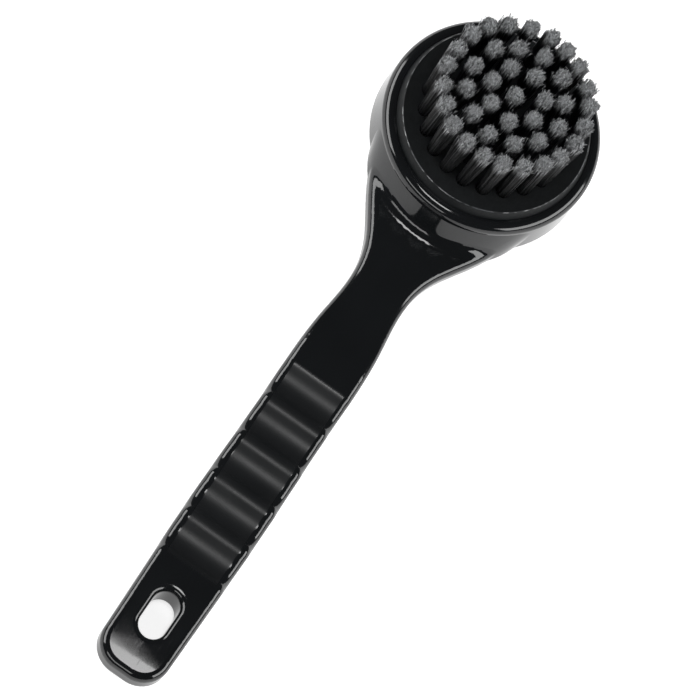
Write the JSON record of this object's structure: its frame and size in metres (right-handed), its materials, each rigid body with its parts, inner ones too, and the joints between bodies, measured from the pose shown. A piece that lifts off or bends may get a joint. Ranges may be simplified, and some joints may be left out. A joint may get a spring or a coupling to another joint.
{
  "type": "wheel brush",
  "caption": "Short-handled wheel brush: round head with rings of soft flagged bristle tufts, grooved grip and a hanging slot.",
  "frame": {"origin": "centre of the head's flat back face", "axes": "+Z towards the bristle tips, the handle runs along -X, +Y to the left of the brush seen from the bristle side with the head away from the hand"},
  "size_m": [0.2719, 0.0758, 0.0535],
  "materials": {
    "handle_plastic": "glossy injection-moulded black plastic",
    "plate_plastic": "matte fine-grained black plastic",
    "bristle": "black synthetic filament with flagged grey tips",
    "anchor_wire": "galvanised flat wire"
  },
  "bodies": {
    "root": {"handle_body": "handle_plastic", "tuft_plate": "plate_plastic", "tuft_01": "bristle", "tuft_02": "bristle", "tuft_03": "bristle", "tuft_04": "bristle", "tuft_05": "bristle", "tuft_06": "bristle", "tuft_07": "bristle", "tuft_08": "bristle", "tuft_09": "bristle", "tuft_10": "bristle", "tuft_11": "bristle", "tuft_12": "bristle", "tuft_13": "bristle", "tuft_14": "bristle", "tuft_15": "bristle", "tuft_16": "bristle", "tuft_17": "bristle", "tuft_18": "bristle", "tuft_19": "bristle", "tuft_20": "bristle", "tuft_21": "bristle", "tuft_22": "bristle", "tuft_23": "bristle", "tuft_24": "bristle", "tuft_25": "bristle", "tuft_26": "bristle", "tuft_27": "bristle", "tuft_28": "bristle", "tuft_29": "bristle", "tuft_30": "bristle", "tuft_31": "bristle", "tuft_32": "bristle", "tuft_33": "bristle", "tuft_34": "bristle", "tuft_35": "bristle", "tuft_36": "bristle", "tuft_37": "bristle", "tuft_38": "bristle", "tuft_39": "bristle", "tuft_40": "bristle", "tuft_41": "bristle", "tuft_42": "bristle", "tuft_anchors": "anchor_wire"}
  },
  "joints": []
}
